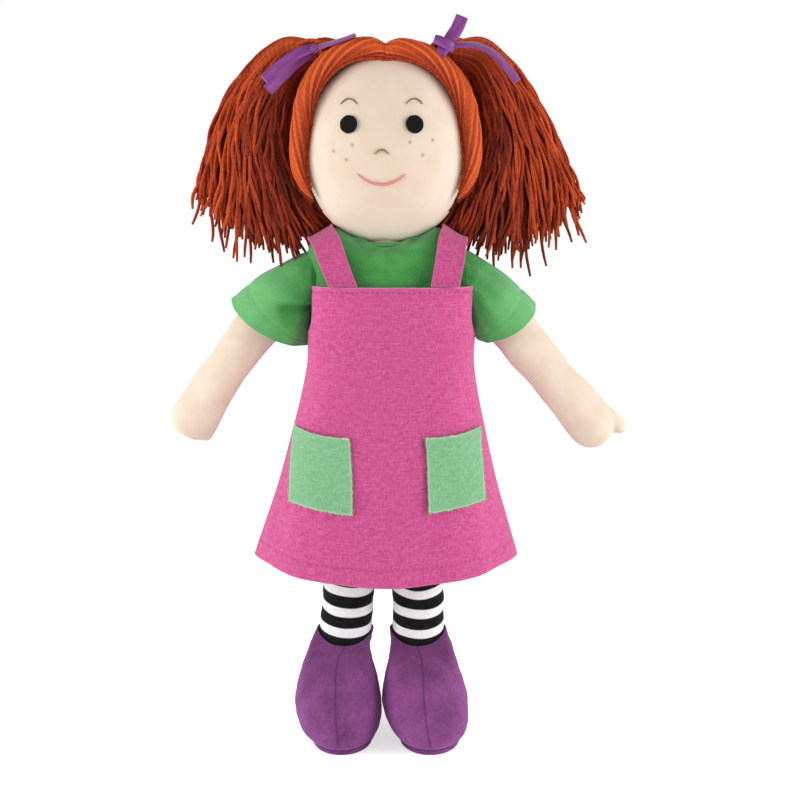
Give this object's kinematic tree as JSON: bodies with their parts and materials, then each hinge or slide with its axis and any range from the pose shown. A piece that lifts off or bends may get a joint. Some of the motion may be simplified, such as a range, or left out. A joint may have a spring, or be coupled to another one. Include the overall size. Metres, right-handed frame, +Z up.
{
  "type": "rag doll",
  "caption": "Standing cloth rag doll with yarn pigtails, T-shirt, pinafore with pockets, striped legs and soft boots; head, arms, legs and pigtails move.",
  "frame": {"origin": "middle of the outer box on the floor, under the soles", "axes": "+Z up from the floor, +Y to the doll's back, +X to the doll's own left"},
  "size_m": [0.2206, 0.0965, 0.3436],
  "materials": {
    "skin": "plain cotton, matt, lined",
    "stuffing": "loose polyester fibre, packed firm",
    "stocking": "knitted tube in black and white rings, matt",
    "suede_cloth": "brushed suede cloth, matt",
    "yarn": "twisted wool yarn, matt",
    "ribbon": "woven satin ribbon, silky",
    "jersey": "cotton jersey, matt",
    "linen": "coarse linen, matt",
    "pocket_linen": "coarse linen, matt, frayed edge",
    "felt_black": "felt, matt",
    "thread_brown": "cotton thread",
    "thread_pink": "cotton thread, matt"
  },
  "bodies": {
    "torso": {"torso_skin": "skin", "torso_stuffing": "stuffing", "shirt_body": "jersey", "shirt_neckband": "jersey", "shirt_sleeve_left": "jersey", "shirt_sleeve_right": "jersey", "dress_front": "linen", "dress_back": "linen", "strap_left": "linen", "strap_right": "linen", "pocket_left": "pocket_linen", "pocket_right": "pocket_linen"},
    "neck": {"neck": "skin"},
    "head": {"head_skin": "skin", "head_stuffing": "stuffing", "eye_left": "felt_black", "eye_right": "felt_black", "brow_left": "thread_brown", "brow_right": "thread_brown", "nose_stitch": "thread_brown", "mouth_stitch": "thread_pink", "hair_roll_left": "yarn", "hair_roll_right": "yarn", "hair_cap_left": "yarn", "hair_cap_right": "yarn"},
    "hip": {"hip_strip": "skin"},
    "pigtail_left": {"pigtail_left": "yarn", "ribbon_left": "ribbon"},
    "shoulder_left": {"shoulder_flap_left": "skin"},
    "arm_left": {"arm_skin_left": "skin", "arm_stuffing_left": "stuffing"},
    "leg_left": {"leg_skin_left": "stocking", "leg_stuffing_left": "stuffing", "boot_left": "suede_cloth", "boot_stuffing_left": "stuffing", "boot_sole_left": "suede_cloth"},
    "pigtail_right": {"pigtail_right": "yarn", "ribbon_right": "ribbon"},
    "shoulder_right": {"shoulder_flap_right": "skin"},
    "arm_right": {"arm_skin_right": "skin", "arm_stuffing_right": "stuffing"},
    "leg_right": {"leg_skin_right": "stocking", "leg_stuffing_right": "stuffing", "boot_right": "suede_cloth", "boot_stuffing_right": "stuffing", "boot_sole_right": "suede_cloth"}
  },
  "joints": [
    {"name": "neck_turn", "type": "hinge", "parent": "torso", "child": "neck", "pos_m": [-0.0064, 0, 0.247], "axis": [0, 0, 1], "range_deg": [-35, 35]},
    {"name": "head_nod", "type": "hinge", "parent": "neck", "child": "head", "pos_m": [-0.0064, 0, 0.247], "axis": [1, 0, 0], "range_deg": [-10, 12]},
    {"name": "sit_fold", "type": "hinge", "parent": "torso", "child": "hip", "pos_m": [-0.0064, 0, 0.118], "axis": [-1, 0, 0], "range_deg": [-15, 90], "deforming": ["dress_front", "dress_back", "pocket_left", "pocket_right"]},
    {"name": "shoulder_raise_left", "type": "hinge", "parent": "torso", "child": "shoulder_left", "pos_m": [0.032, 0, 0.226], "axis": [0, -1, 0], "range_deg": [-15, 20], "deforming": ["shirt_sleeve_left"]},
    {"name": "arm_swing_left", "type": "hinge", "parent": "shoulder_left", "child": "arm_left", "pos_m": [0.032, 0, 0.226], "axis": [-1, 0, 0], "range_deg": [-40, 60], "deforming": ["shirt_sleeve_left"]},
    {"name": "leg_swing_left", "type": "hinge", "parent": "hip", "child": "leg_left", "pos_m": [0.0091, 0, 0.116], "axis": [-1, 0, 0], "range_deg": [-25, 15], "deforming": ["dress_front", "dress_back", "pocket_left", "pocket_right"]},
    {"name": "pigtail_lift_left", "type": "hinge", "parent": "head", "child": "pigtail_left", "pos_m": [0.0316, 0.002, 0.3285], "axis": [0, -1, 0], "range_deg": [0, 40], "deforming": ["ribbon_left"]},
    {"name": "shoulder_raise_right", "type": "hinge", "parent": "torso", "child": "shoulder_right", "pos_m": [-0.0448, 0, 0.226], "axis": [0, 1, 0], "range_deg": [-15, 20], "deforming": ["shirt_sleeve_right"]},
    {"name": "arm_swing_right", "type": "hinge", "parent": "shoulder_right", "child": "arm_right", "pos_m": [-0.0448, 0, 0.226], "axis": [-1, 0, 0], "range_deg": [-40, 60], "deforming": ["shirt_sleeve_right"]},
    {"name": "leg_swing_right", "type": "hinge", "parent": "hip", "child": "leg_right", "pos_m": [-0.0219, 0, 0.116], "axis": [-1, 0, 0], "range_deg": [-25, 15], "deforming": ["dress_front", "dress_back", "pocket_left", "pocket_right"]},
    {"name": "pigtail_lift_right", "type": "hinge", "parent": "head", "child": "pigtail_right", "pos_m": [-0.0444, 0.002, 0.3285], "axis": [0, 1, 0], "range_deg": [0, 40], "deforming": ["ribbon_right"]}
  ]
}
